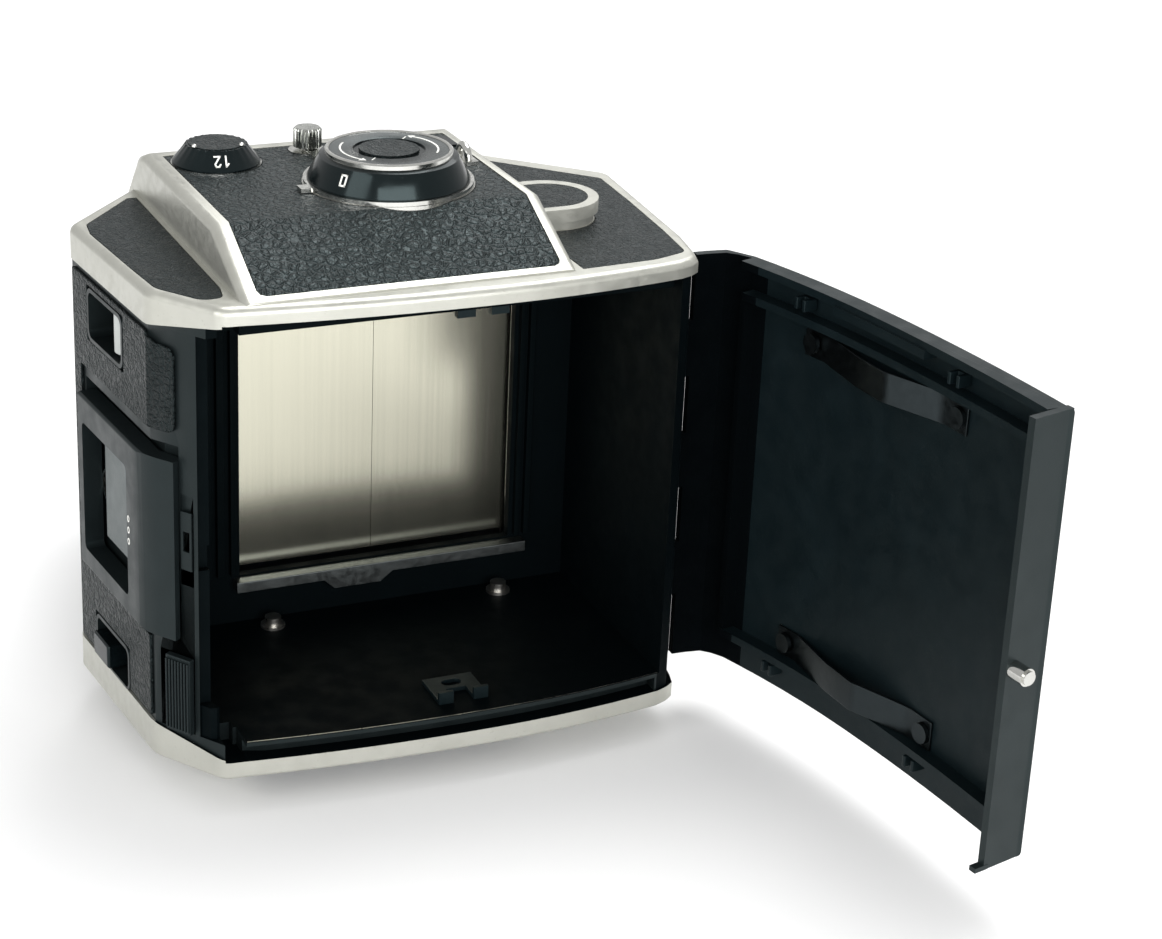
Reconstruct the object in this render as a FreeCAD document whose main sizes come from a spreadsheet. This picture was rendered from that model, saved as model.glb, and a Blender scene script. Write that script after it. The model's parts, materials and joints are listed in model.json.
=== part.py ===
"""Medium format single lens reflex camera, lying on its side with the back door open.

Frame: origin at the middle of the face it rests on, +Z up.  +X runs towards the camera's own
top (the waist level finder), -X towards its base, -Y is the open back, +Y is the lens.
All sizes are in millimetres.
"""
import FreeCAD, Part
import math
import os
import re
from FreeCAD import Placement, Rotation, Vector

DIMENSIONS = {
    # main body between the two side caps
    "body_bottom": 13.9, "body_top": 90.6, "body_inset": 0.5, "plug_inset": 3.5,
    "back_y": -39.3, "crown_x": 10.0, "curl_left": 0.00142, "curl_right": 0.0024,
    "front_y": 50.0, "side_break_y": 18.0, "right_side_x": 54.5, "front_right_x": 22.0,
    "front_left_x": -24.0, "left_side_x": -54.4, "left_break_y": 16.5,
    "bevel_x": -50.8, "bevel_y": -22.3, "low_band": 10.5, "high_band": 93.65, "hinge_side_y": -20.0,
    # film insert chamber
    "chamber_left": -44.5, "chamber_right": 44.5, "chamber_floor": 14.0, "chamber_ceiling": 90.6,
    "gate_y": 10.8, "gate_plate": 2.0, "gate_left": -24.1, "gate_right": 32.4,
    "gate_low": 24.0, "gate_high": 80.3,
    # side caps
    "cap_rise": 6.2, "cap_round": 1.5, "low_round": 0.7,
    "plateau_left": -37.5, "plateau_right": 24.2, "plateau_height": 15.0,
    "plateau_near": -16.8, "plateau_far": 27.0, "leather": 0.6,
    "rest_left": -36.0, "rest_right": 23.0, "low_cap": 6.8,
    # lens axis
    "axis_x": 4.0, "axis_z": 52.25,
    # front housing with the mirror box, and finder
    "house_left": -29.0, "house_right": 40.0, "house_low": 19.0, "house_high": 85.5,
    "house_front": 64.0, "house_wall": 2.5, "finder_right": 58.0,
    "finder_low": 24.0, "finder_high": 80.5, "finder_near": 15.0, "finder_far": 61.0,
    "throat_radius": 25.0, "mount_radius": 31.5,
    # dials on the top plateau
    "dial_x": 0.5, "dial_y": -2.3, "dial_ring_radius": 15.6, "dial_skirt_radius": 14.9,
    "dial_top_radius": 11.7,
    "selector_x": -25.7, "selector_y": 18.7, "selector_radius": 8.2, "selector_top": 5.9,
    "knob_x": -7.0, "knob_y": 21.5, "knob_radius": 2.75, "knob_height": 4.4,
    "boss_x": 31.5, "boss_y": -5.0, "boss_radius": 9.2, "boss_height": 4.2,
    # back door, measured closed, and its hinge
    "door_gap": 0.35, "door_sheet": 1.7, "door_low": 10.85, "door_high": 93.3,
    "hinge_x": 49.6, "hinge_y": -25.2, "door_open": 98.9, "door_return": 8.9, "door_curl": 0.00115,
    "knuckle_radius": 1.9, "pin_radius": 0.9, "bore_clearance": 0.05,
    "spring_sheet": 0.4, "spring_width": 5.6, "spring_high": 82.3, "spring_low": 21.4,
    # latch on the base
    "latch_low": 32.4, "latch_high": 66.8,
    "window_low": 36.1, "window_high": 61.6, "thread_radius": 3.175, "bush_radius": 3.65,
    "catch_low": 46.4, "catch_high": 57.6,
    "lens_ring": 29.8,
}

doc = FreeCAD.newDocument("camera")
sheet = doc.addObject("Spreadsheet::Sheet", "Dims")
for row, (alias, value) in enumerate(DIMENSIONS.items(), start=1):
    sheet.set("A%d" % row, alias.replace("_", " "))
    sheet.set("B%d" % row, str(value))
    sheet.setAlias("B%d" % row, alias)
doc.recompute()

NODES = {}
serial = [0]


def value(expression):
    """The number an expression in the sheet's aliases stands for."""
    if isinstance(expression, (int, float)):
        return float(expression)
    names = {alias: float(sheet.get(alias)) for alias in DIMENSIONS}
    tokens = re.findall(r"[a-z_]+|[0-9.]+|[-+*/()]", expression)
    filled = ["(%r)" % names[token] if token in names else token for token in tokens]
    total = FreeCAD.Units.Quantity("".join(filled))
    return float(total.Value)


def bind(obj, prop, expression):
    """Tie a property to the sheet, with every alias written as Dims.alias."""
    if isinstance(expression, (int, float)):
        expression = repr(float(expression))
    text = re.sub(r"[a-z_]+", lambda found: "Dims." + found.group(0)
                  if found.group(0) in DIMENSIONS else found.group(0), expression)
    obj.setExpression(prop, text)


def fresh(kind, name=None):
    serial[0] += 1
    return doc.addObject(kind, "%s_%03d" % (name or "piece", serial[0]))


def box(x, y, z, dx, dy, dz):
    """A box from its low corner and its three sizes."""
    obj = fresh("Part::Box")
    for prop, expression in (("Length", dx), ("Width", dy), ("Height", dz),
                             ("Placement.Base.x", x), ("Placement.Base.y", y),
                             ("Placement.Base.z", z)):
        bind(obj, prop, expression)
    return obj


def round_bar(x, y, z, radius, length, along="z"):
    """A cylinder from the middle of its first face."""
    obj = fresh("Part::Cylinder")
    turn = {"z": Rotation(), "y": Rotation(Vector(1, 0, 0), -90), "x": Rotation(Vector(0, 1, 0), 90)}
    obj.Placement = Placement(Vector(), turn[along])
    for prop, expression in (("Radius", radius), ("Height", length), ("Placement.Base.x", x),
                             ("Placement.Base.y", y), ("Placement.Base.z", z)):
        bind(obj, prop, expression)
    return obj


def cone(x, y, z, low_radius, high_radius, height):
    obj = fresh("Part::Cone")
    for prop, expression in (("Radius1", low_radius), ("Radius2", high_radius), ("Height", height),
                             ("Placement.Base.x", x), ("Placement.Base.y", y),
                             ("Placement.Base.z", z)):
        bind(obj, prop, expression)
    return obj


def prism(points, start, length, plane="XY_Plane"):
    """A padded sketch: an outline in the XY plane raised along Z, or in YZ raised along X."""
    body = fresh("PartDesign::Body", "outline")
    sketch = body.newObject("Sketcher::SketchObject", "Sketch_%03d" % serial[0])
    base = [item for item in body.Origin.OriginFeatures if item.Role == plane][0]
    sketch.AttachmentSupport = (base, [""])
    sketch.MapMode = "FlatFace"
    bind(sketch, ".AttachmentOffset.Base.z", start)
    corners = [Vector(value(a), value(b), 0) for a, b in points]
    for first, second in zip(corners, corners[1:] + corners[:1]):
        sketch.addGeometry(Part.LineSegment(first, second), False)
    pad = body.newObject("PartDesign::Pad", "Pad_%03d" % serial[0])
    pad.Profile = sketch
    bind(pad, "Length", length)
    body.Tip = pad
    return body


def fuse(*pieces):
    obj = fresh("Part::MultiFuse")
    obj.Shapes = list(pieces)
    return obj


def group(*pieces):
    """Separate solids in one node."""
    obj = fresh("Part::Compound")
    obj.Links = list(pieces)
    return obj


def cut(base, *tools):
    obj = fresh("Part::Cut")
    obj.Base = base
    obj.Tool = tools[0] if len(tools) == 1 else fuse(*tools)
    return obj


def common(first, second):
    obj = fresh("Part::Common")
    obj.Base = first
    obj.Tool = second
    return obj


def rounded(base, radius, wanted):
    """Round the edges for which wanted(edge) is true."""
    doc.recompute()
    edges = [(number, radius, radius) for number, edge in enumerate(base.Shape.Edges, start=1)
             if wanted(edge)]
    obj = fresh("Part::Fillet")
    obj.Base = base
    obj.Edges = edges
    return obj


def turned(obj, angle, origin=(0, 0)):
    """Turn a finished piece about a vertical line."""
    centre = Vector(value(origin[0]), value(origin[1]), 0)
    obj.Placement = Placement(Vector(), Rotation(Vector(0, 0, 1), angle), centre).multiply(obj.Placement)
    return obj


def node(name, obj):
    obj.Label = name
    NODES[name] = obj
    return obj


def offset_outline(points, distance):
    """Corners of an anticlockwise outline moved outwards by a distance."""
    moved = []
    count = len(points)
    for index in range(count):
        before, here, after = points[index - 1], points[index], points[(index + 1) % count]
        first = Vector(here[1] - before[1], before[0] - here[0], 0).normalize()
        second = Vector(after[1] - here[1], here[0] - after[0], 0).normalize()
        scale = distance / (1 + first.dot(second))
        moved.append((here[0] + (first.x + second.x) * scale, here[1] + (first.y + second.y) * scale))
    return moved


def strip(points, inner, outer):
    """A thin strip that follows an open line, between two distances to its right."""
    def side(distance):
        line = []
        for index, here in enumerate(points):
            normals = []
            for start, end in ((index - 1, index), (index, index + 1)):
                if start >= 0 and end < len(points):
                    run = Vector(points[end][0] - points[start][0], points[end][1] - points[start][1], 0)
                    normals.append(Vector(run.y, -run.x, 0).normalize())
            first, second = normals[0], normals[-1]
            scale = distance / (1 + first.dot(second))
            line.append((here[0] + (first.x + second.x) * scale,
                         here[1] + (first.y + second.y) * scale))
        return line
    return side(inner) + side(outer)[::-1]


def eased(points, radii):
    """An outline whose listed corners are replaced by short arcs of the given radii."""
    line = []
    count = len(points)
    for index, here in enumerate(points):
        radius = radii.get(index % count, radii.get(index - count))
        if not radius:
            line.append(here)
            continue
        spot = Vector(*here, 0)
        back = (Vector(*points[index - 1], 0) - spot).normalize()
        ahead = (Vector(*points[(index + 1) % count], 0) - spot).normalize()
        half = back.getAngle(ahead) / 2
        reach = radius / math.tan(half)
        centre = spot + (back + ahead).normalize() * (radius / math.sin(half))
        first, last = spot + back * reach - centre, spot + ahead * reach - centre
        turn = first.getAngle(last)
        side = 1 if first.cross(last).z > 0 else -1
        steps = 5
        for step in range(steps + 1):
            spoke = Rotation(Vector(0, 0, side), math.degrees(turn) * step / steps).multVec(first)
            line.append((centre.x + spoke.x, centre.y + spoke.y))
    return line


# ---------------------------------------------------------------- outlines and local frames
def back_level(x, left="curl_left"):
    """How far back the bowed back wall reaches at a given x, with the curl of its left part."""
    reach = x - value("crown_x")
    return value("back_y") + reach * reach * value(left if reach < 0 else "curl_right")


BACK_STATIONS = [-38.5, -33.0, -27.0, -21.0, -15.0, -9.0, -3.0, 3.0, 10.0, 16.0, 22.0, 28.0, 34.0, 39.5, 44.0]
BACK_LINE = [(x, back_level(x)) for x in BACK_STATIONS]
RIGHT_CORNER = [(46.5, -35.5), (48.2, -34.2), (49.1, -31.3), (50.0, -26.9), (50.9, -22.0)]
OUTLINE = [(-41.6, -35.7)] + BACK_LINE + RIGHT_CORNER + [(value(a), value(b)) for a, b in (
    ("right_side_x", "side_break_y"), ("front_right_x", "front_y"), ("front_left_x", "front_y"),
    ("left_side_x", "left_break_y"), ("bevel_x", "bevel_y"))]
BACK_CORNER = Vector(-40.0, -38.0, 0)
BEVEL_CORNER = Vector(OUTLINE[-1][0], OUTLINE[-1][1], 0)
SIDE_CORNER = Vector(OUTLINE[-2][0], OUTLINE[-2][1], 0)
FRONT_CORNER = Vector(OUTLINE[-3][0], OUTLINE[-3][1], 0)


CAP_OUTLINE = eased(OUTLINE, {0: 3.5, -1: 7.0, -2: 3.5, -3: 3.5, -4: 3.5, -5: 4.0})


def face_frame(start, end):
    """Placement with +Y along a wall from start to end and -X pointing out of it."""
    run = end - start
    return Placement(start, Rotation(Vector(0, 0, 1), math.degrees(math.atan2(-run.x, run.y))))


BASE_FRAME = face_frame(BEVEL_CORNER, SIDE_CORNER)
BEVEL_FRAME = face_frame(BACK_CORNER, BEVEL_CORNER)
BEVEL_LENGTH = (BEVEL_CORNER - BACK_CORNER).Length


def on_face(frame, obj):
    obj.Placement = frame.multiply(obj.Placement)
    return obj


def face_box(frame, low_u, high_u, inward, outward, low_z, high_z):
    """A box on a wall: from inward below its surface to outward above it."""
    plain = fresh("Part::Box")
    plain.Length = inward + outward
    plain.Width = high_u - low_u
    plain.Height = value(high_z) - value(low_z)
    plain.Placement = frame.multiply(Placement(Vector(-outward, low_u, value(low_z)), Rotation()))
    return plain


def plain_bar(x, y, z, radius, length, along="z"):
    """A cylinder whose place is given in a wall's own frame."""
    obj = fresh("Part::Cylinder")
    turn = {"z": Rotation(), "x": Rotation(Vector(0, 1, 0), 90)}
    obj.Radius = radius
    obj.Height = length
    obj.Placement = Placement(Vector(x, y, z), turn[along])
    return obj


def vertical(edge):
    first, last = edge.Vertexes[0].Point, edge.Vertexes[-1].Point
    return abs(first.x - last.x) < 1e-4 and abs(first.y - last.y) < 1e-4


def across_base(edge):
    """True for edges that run straight into the base wall."""
    first, last = (BASE_FRAME.inverse().multVec(spot.Point) for spot in (edge.Vertexes[0], edge.Vertexes[-1]))
    return abs(first.y - last.y) < 1e-4 and abs(first.z - last.z) < 1e-4


def level_at(height):
    def wanted(edge):
        box_ = edge.BoundBox
        return abs(box_.ZMin - height) < 1e-3 and abs(box_.ZMax - height) < 1e-3
    return wanted


# ---------------------------------------------------------------- hinge
KNUCKLES = 7
HINGE_LOW = 12.6
HINGE_STEP = (91.9 - HINGE_LOW) / KNUCKLES


def knuckles(first, reach):
    """Every other barrel of the hinge, each with a leaf: to +Y for the body, to -Y for the door."""
    barrels = []
    for index in range(first, KNUCKLES, 2):
        low = HINGE_LOW + index * HINGE_STEP + 0.1
        tall = HINGE_STEP - 0.2
        barrels.append(round_bar("hinge_x", "hinge_y", low, "knuckle_radius", tall))
        if first == 0:
            barrels.append(box("hinge_x - 1.8", "hinge_y", low, reach, 3.4, tall))
        else:
            barrels.append(box("hinge_x + 0.35", "hinge_y - 4.9", low, reach, 4.9, tall))
    return fuse(*barrels)


def hinge_bore():
    return round_bar("hinge_x", "hinge_y", HINGE_LOW - 0.5, "pin_radius + bore_clearance", 80.5)


# ---------------------------------------------------------------- body shell
DRUM = (3.9, 17.0, 3.3)
BUSH_U = 26.8
RELEASE_FRAME = face_frame(SIDE_CORNER, FRONT_CORNER)
RELEASE_U = 18.0
RECESS = {"latch": (-0.4, 32.9, 3.0), "latch_bevel": (12.7, BEVEL_LENGTH + 0.4, 2.4)}
WINDOW = (12.3, 28.8, 78.6, 87.3)
LOW_RECESS = (12.5, 28.6, 14.5, 22.3)
KEY = (9.95, 15.4, 14.2, 29.2)
CHANNEL = (9.6, 12.5, 43.3, 60.6)


def door_notches():
    """Room for the door's edges: both bands thin down behind the bevel, in a straight slope over it."""
    room = []
    for band, body in (("low_band", "body_bottom"), ("high_band", "body_top")):
        past = 16.0 if band == "low_band" else 88.0
        profile = [(-110, past), (-110, band), (0, band), (BEVEL_LENGTH, body), (BEVEL_LENGTH, past)]
        if band == "high_band":
            profile = profile[::-1]
        slab = on_face(BEVEL_FRAME, prism(profile, -20, 150, "YZ_Plane"))
        room.append(common(slab, box(-60, -60, 0, 125, "hinge_side_y + 60", 110)))
    return room


def flange_room():
    """Where the door's free edge and its foot hook go when it is closed."""
    return fuse(box(-41.3, "back_y - 4", "low_band", 3.9, "-29.3 - back_y + 4", "high_band - low_band"),
                box(-41.3, "back_y - 4", "low_band", 3.2, "-27.1 - back_y + 4", 3.6))


def body_plug():
    """The inner part of the shell that fits into both side caps."""
    return prism(offset_outline(OUTLINE, -value("plug_inset")), "low_band", "high_band - low_band")


def body_shell():
    inset = offset_outline(OUTLINE, -value("body_inset"))
    middle = prism(inset, "body_bottom", "body_top - body_bottom")
    low_notch, high_notch = door_notches()
    low_back = common(prism(inset, "low_band", 5), low_notch)
    high_back = common(prism(inset, "high_band - 4", 4), high_notch)
    rims = [rounded(face_box(BASE_FRAME, span[0] - 0.75, span[1] + 0.75, 2.0, 0.15,
                             max(span[2] - 0.75, 14.05), span[3] + 0.75), 2.0, across_base)
            for span in (WINDOW, LOW_RECESS)]
    block = fuse(middle, body_plug(), low_back, high_back, *rims)
    chamber = box("chamber_left", "back_y - 2", "chamber_floor", "chamber_right - chamber_left",
                  "gate_y + gate_plate - back_y + 2", "chamber_ceiling - chamber_floor")
    door_recess = box("chamber_left", "back_y - 4", "chamber_ceiling - 1", "chamber_right - chamber_left",
                      "-32.4 - back_y + 4", 6)
    flange_relief = flange_room()
    under_floor = cut(box(-38.0, "back_y - 4", "low_band - 0.3", 81.4, 14, "chamber_floor - low_band - 0.5"),
                      prism(offset_outline(OUTLINE, -3.3), "low_band - 1", 6))
    hinge_side = box(46.6, "back_y - 2", 8, 12, "hinge_y - back_y + 2", 90)
    hinge_groove = round_bar("hinge_x", "hinge_y", 8, 2.6, 90)
    housing = box("house_left", "gate_y + gate_plate", "house_low", "house_right - house_left", 60,
                  "house_high - house_low")
    finder = box("house_right - 1", "finder_near - 2", "finder_low - 2", 40, 60,
                 "finder_high - finder_low + 4")
    latch = face_box(BASE_FRAME, *RECESS["latch"][:2], RECESS["latch"][2], 3, 32, 69.4)
    latch_bevel = face_box(BEVEL_FRAME, *RECESS["latch_bevel"][:2], RECESS["latch_bevel"][2], 3, 32, 69.4)
    window = rounded(face_box(BASE_FRAME, *WINDOW[:2], 6.0, 3, *WINDOW[2:]), 1.5, across_base)
    drum_pocket = on_face(BASE_FRAME, plain_bar(DRUM[0], DRUM[1], WINDOW[2], DRUM[2] + 0.35, 8.7))
    low_recess = rounded(face_box(BASE_FRAME, *LOW_RECESS[:2], 4.0, 3, *LOW_RECESS[2:]), 1.3, across_base)
    key = face_box(BEVEL_FRAME, KEY[0] - 0.2, KEY[1] + 2.1, 1.1, 3, KEY[2] - 0.2, KEY[3] + 0.2)
    channel = face_box(BEVEL_FRAME, *CHANNEL[:2], 0.9, 3, *CHANNEL[2:])
    bush = on_face(BASE_FRAME, plain_bar(-1, BUSH_U, 49.0, value("bush_radius"), 9.0, "x"))
    button = on_face(RELEASE_FRAME, plain_bar(-3, RELEASE_U, 30.0, 4.35, 10.0, "x"))
    shell = cut(block, chamber, door_recess, flange_relief, under_floor, hinge_side, hinge_groove,
                housing, finder, latch, latch_bevel, window, drum_pocket, low_recess, key, channel, bush, button)
    return node("body_shell", cut(fuse(shell, knuckles(0, 1.6)), hinge_bore()))


# ---------------------------------------------------------------- side caps
PLATEAU_TOP = value("body_top") + value("plateau_height")
SLOPE_FOOT = (-34.3, PLATEAU_TOP - 8.3)
CAP_PLUG = value("high_band")


def plateau_profile():
    """Side view of the raised middle of the upper cap."""
    return [(-35.2, CAP_PLUG + 0.6), (-35.2, SLOPE_FOOT[1] - 0.2), SLOPE_FOOT,
            (value("plateau_near"), PLATEAU_TOP),
            (value("plateau_far"), PLATEAU_TOP), (31.0, PLATEAU_TOP - 1.5), (38.0, SLOPE_FOOT[1] - 1.0),
            (38.0, CAP_PLUG + 0.6)]


def plateau_leather_profile(low, high):
    """Side view of the bent leather sheet over the slope and the flat of the plateau."""
    foot_y, foot_z = SLOPE_FOOT[0] + 0.6, SLOPE_FOOT[1] + 0.28
    return [(foot_y, foot_z + low), (value("plateau_near") + 0.1, PLATEAU_TOP + low),
            (24.6, PLATEAU_TOP + low), (24.6, PLATEAU_TOP + high),
            (value("plateau_near") - 0.1, PLATEAU_TOP + high), (foot_y, foot_z + high)]


PLATEAU_SHEET = [(-34.3, -32.3), (-33.9, -33.2), (-32.9, -33.68), (20.2, -33.68), (21.2, -33.2),
                 (21.6, -32.3), (21.6, 30.0), (-34.3, 30.0)]
LEFT_SHOULDER = eased([(-52.1, 9.6), (-50.2, -11.1), (-49.0, -22.0), (-43.2, -30.3), (-39.3, -30.1),
                       (-38.4, -25.0), (-38.4, 28.4), (-40.2, 28.4), (-51.4, 15.2)],
                      {2: 5.0, 3: 3.0, 4: 1.8, 8: 2.0})
RIGHT_SHOULDER = eased([(25.2, -34.7), (40.0, -33.8), (47.0, -31.4), (48.6, -18.7), (50.2, -1.0),
                        (51.2, 14.6), (34.4, 32.0), (25.2, 36.0)], {1: 12.0, 2: 2.2, 5: 1.2})


def upper_cap():
    slab = prism(CAP_OUTLINE, "body_top", "cap_rise")
    slab = rounded(slab, value("cap_round"), level_at(value("body_top") + value("cap_rise")))
    plateau = prism(plateau_profile(), "plateau_left", "plateau_right - plateau_left", "YZ_Plane")
    plateau = rounded(plateau, 1.6, lambda edge: edge.BoundBox.ZMin > SLOPE_FOOT[1] - 1.1
                      and edge.BoundBox.XLength < 1e-3)
    boss = round_bar("boss_x", "boss_y", "body_top + 2", "boss_radius", "cap_rise + boss_height - 2")
    boss_bridge = box("plateau_right - 1", "boss_y - boss_radius", "body_top + 2",
                      "boss_x - plateau_right + 1", "2 * boss_radius", "cap_rise + boss_height - 2")
    boss_whole = fuse(boss, boss_bridge)
    neck = cut(box("plateau_right + 0.01", "boss_y - 12", "body_top + cap_rise + 0.01", 24, 24, 1.7),
               fuse(round_bar("boss_x", "boss_y", "body_top", "boss_radius - 0.8", 12),
                    box("plateau_right - 1", "boss_y - boss_radius + 0.8", "body_top",
                        "boss_x - plateau_right + 1", "2 * boss_radius - 1.6", 12)))
    cap = cut(fuse(slab, plateau, boss_whole), neck)
    pocket = common(prism(plateau_leather_profile(-0.75, 4.0), -34.3, 55.9, "YZ_Plane"),
                    prism(PLATEAU_SHEET, "body_top", 30))
    left_pocket = prism(LEFT_SHOULDER, "body_top + cap_rise - 0.7", 2)
    right_pocket = cut(prism(RIGHT_SHOULDER, "body_top + cap_rise - 0.7", 0.8), boss_foot())
    boss_pocket = fuse(round_bar("boss_x", "boss_y", "body_top + cap_rise + boss_height - 0.7",
                                 "boss_radius - 2.0", 3),
                       box("plateau_right + 0.6", "boss_y - boss_radius + 2.0",
                           "body_top + cap_rise + boss_height - 0.7", "boss_x - plateau_right - 0.6",
                           "2 * boss_radius - 4", 3))
    seats = [round_bar(x, y, PLATEAU_TOP - 0.75, radius, 3)
             for x, y, radius in (("dial_x", "dial_y", 15.85), ("selector_x", "selector_y", 8.45),
                                  ("knob_x", "knob_y", 3.65))]
    return node("upper_side_cap", cut(cap, pocket, left_pocket, right_pocket, boss_pocket, body_plug(),
                                      door_notches()[1], flange_room(), *seats))


def boss_foot(reach=-0.6):
    """The column under the level boss, which the shoulder leather is cut around."""
    return fuse(round_bar("boss_x", "boss_y", "body_top - 1", "boss_radius + %r" % reach, 14),
                box("plateau_right - 2", "boss_y - boss_radius - %r" % reach, "body_top - 1",
                    "boss_x - plateau_right + 2", "2 * boss_radius + %r" % (2 * reach), 14))


def shoulder_leather():
    left = prism(offset_outline(LEFT_SHOULDER, -0.08), "body_top + cap_rise - 0.65", 0.7)
    node("left_shoulder_leather", left)
    right = prism(offset_outline(RIGHT_SHOULDER, -0.08), "body_top + cap_rise - 0.65", 0.7)
    node("right_shoulder_leather", cut(right, boss_foot(-0.5)))


def plateau_leather():
    node("plateau_leather", common(prism(plateau_leather_profile(-0.7, -0.1), -34.2, 55.7, "YZ_Plane"),
                                   prism(offset_outline(PLATEAU_SHEET, -0.1), "body_top", 30)))


def boss_leather():
    disc = round_bar("boss_x", "boss_y", "body_top + cap_rise + boss_height - 0.65",
                     "boss_radius - 2.1", 0.6)
    back = box("plateau_right + 0.7", "boss_y - boss_radius + 2.1",
               "body_top + cap_rise + boss_height - 0.65", "boss_x - plateau_right - 0.7",
               "2 * boss_radius - 4.2", 0.6)
    node("boss_leather", fuse(disc, back))


def lower_cap():
    slab = prism(CAP_OUTLINE, "body_bottom - low_cap", "low_cap")
    slab = rounded(slab, value("low_round"), level_at(value("body_bottom") - value("low_cap")))
    low = value("body_bottom") - value("low_cap")
    profile = [(-33.0, low + 1), (-33.0, low - 0.2), (-14.0, 0.0), (25.0, 0.0), (36.0, low - 0.2),
               (36.0, low + 1)]
    plateau = prism(profile, "rest_left", "rest_right - rest_left", "YZ_Plane")
    plateau = rounded(plateau, 0.8, lambda edge: edge.BoundBox.ZMax < low - 0.1
                      and edge.BoundBox.XLength < 1e-3)
    pocket_profile = [(-31.0, low - 0.5), (-30.9, low - 4), (-14.0, -3), (22.4, -3), (22.4, 0.6),
                      (-13.8, 0.6), (-31.0, low - 0.02)]
    pocket = prism(pocket_profile, "rest_left + 2.6", "rest_right - rest_left - 5.2", "YZ_Plane")
    return node("lower_side_cap", cut(fuse(slab, plateau), pocket, body_plug(), door_notches()[0],
                                      flange_room()))


def lower_leather():
    low = value("body_bottom") - value("low_cap")
    profile = [(-30.8, low - 0.85), (-14.05, 0.02), (22.3, 0.02), (22.3, 0.55), (-13.75, 0.55),
               (-30.8, low - 0.2)]
    sheet = prism(profile, "rest_left + 2.7", "rest_right - rest_left - 5.4", "YZ_Plane")
    node("lower_plateau_leather", sheet)


# ---------------------------------------------------------------- base leather and latch
def wall_strip(low_u, high_u, inner, outer):
    """Outline of a sheet on the base wall that wraps the bevel when low_u is negative."""
    def point(frame, along, out):
        spot = frame.multVec(Vector(-out, along, 0))
        return (spot.x, spot.y)
    ends = []
    for out in (inner, outer):
        line = [point(BASE_FRAME, high_u, out)]
        if low_u < 0:
            half = math.radians(BASE_FRAME.Rotation.Angle - BEVEL_FRAME.Rotation.Angle) / 2
            bend = BASE_FRAME.multVec(Vector(-out, out * math.tan(half), 0))
            line += [(bend.x, bend.y), point(BEVEL_FRAME, BEVEL_LENGTH + low_u, out)]
        else:
            line += [point(BASE_FRAME, low_u, out)]
        ends.append(line)
    return ends[0] + ends[1][::-1]


def base_leather():
    inner, outer = -value("body_inset"), -value("body_inset") + value("leather")
    upper = prism(wall_strip(-5.9, 37.4, inner, outer), 71.7, 17.6)
    end = BEVEL_LENGTH
    over = [(-10, 92), (-10, 86.0), (end - 5.9, 86.0), (end - 5.5, 86.9), (end - 4.6, 87.4),
            (end - 2.0, 87.7), (end + 0.2, 88.7), (end + 1.4, 92)]
    under = [(-10, 70), (end - 4.4, 70), (end - 4.4, 71.7), (end - 5.4, 72.1), (end - 5.9, 73.1), (-10, 73.1)]
    upper = cut(upper, *[on_face(BEVEL_FRAME, prism(corner, -3, 6, "YZ_Plane")) for corner in (over, under)])
    upper = cut(upper, face_box(BASE_FRAME, WINDOW[0] - 0.9, WINDOW[1] + 0.9, 4, 4, WINDOW[2] - 0.9,
                                WINDOW[3] + 0.9))
    lower = prism(wall_strip(0.9, 37.4, inner, outer), 14.9, 16.2)
    lower = cut(lower, face_box(BASE_FRAME, LOW_RECESS[0] - 0.9, LOW_RECESS[1] + 0.9, 4, 4, 12,
                                LOW_RECESS[3] + 0.9))
    far = prism(wall_strip(33.9, 37.4, inner, outer), 31.0, 40.9)
    node("base_leather", fuse(upper, lower, far))


def wall_point(frame, along, out):
    spot = frame.multVec(Vector(-out, along, 0))
    return (spot.x, spot.y)


def latch_plate():
    outline = [wall_point(BASE_FRAME, 32.4, 1.5), wall_point(BASE_FRAME, 4.2, 1.5),
               wall_point(BASE_FRAME, 2.2, 1.4), wall_point(BASE_FRAME, 0.6, 1.05),
               wall_point(BEVEL_FRAME, BEVEL_LENGTH - 0.9, 0.85),
               wall_point(BEVEL_FRAME, BEVEL_LENGTH - 2.6, 0.9), wall_point(BEVEL_FRAME, 12.9, 0.8),
               wall_point(BEVEL_FRAME, 12.9, -1.7), wall_point(BASE_FRAME, 0.4, -2.2),
               wall_point(BASE_FRAME, 32.4, -2.2)]
    plate = prism(outline, "latch_low", "latch_high - latch_low")
    plate = rounded(plate, 0.6, lambda edge: edge.BoundBox.ZLength < 1e-3
                    and max(BASE_FRAME.inverse().multVec(v.Point).x for v in edge.Vertexes) < -1.3)
    hole = rounded(face_box(BASE_FRAME, 7.5, 30.3, 6, 6, "window_low", "window_high"), 1.2, across_base)
    node("latch_plate", cut(plate, hole))
    node("foot_pad", face_box(BASE_FRAME, 8.1, 23.0, RECESS["latch"][2], -0.2, 41.2, 61.1))


def tripod_bush():
    outer = on_face(BASE_FRAME, plain_bar(2.2, BUSH_U, 49.0, value("bush_radius"), 5.7, "x"))
    inner = on_face(BASE_FRAME, plain_bar(1.0, BUSH_U, 49.0, value("thread_radius"), 8.0, "x"))
    node("tripod_bush", cut(outer, inner))


def catch_slider():
    plate = face_box(BEVEL_FRAME, 9.8, 12.2, 0.8, -0.1, "catch_low", "catch_high")
    mouth = face_box(BEVEL_FRAME, 10.3, 11.7, 2, 2, 50.0, 53.8)
    node("catch_slider", cut(plate, mouth))


def release_key():
    block = [face_box(BEVEL_FRAME, KEY[0], KEY[1], 1.0, 0.7, KEY[2], KEY[3])]
    ribs = 8
    pitch = (KEY[1] - KEY[0]) / ribs
    for index in range(ribs):
        low = KEY[0] + pitch * index + 0.1
        block.append(face_box(BEVEL_FRAME, low, low + pitch * 0.55, 0, 1.15, KEY[2] + 0.6, KEY[3] - 0.6))
    node("insert_release_key", fuse(*block))


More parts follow.
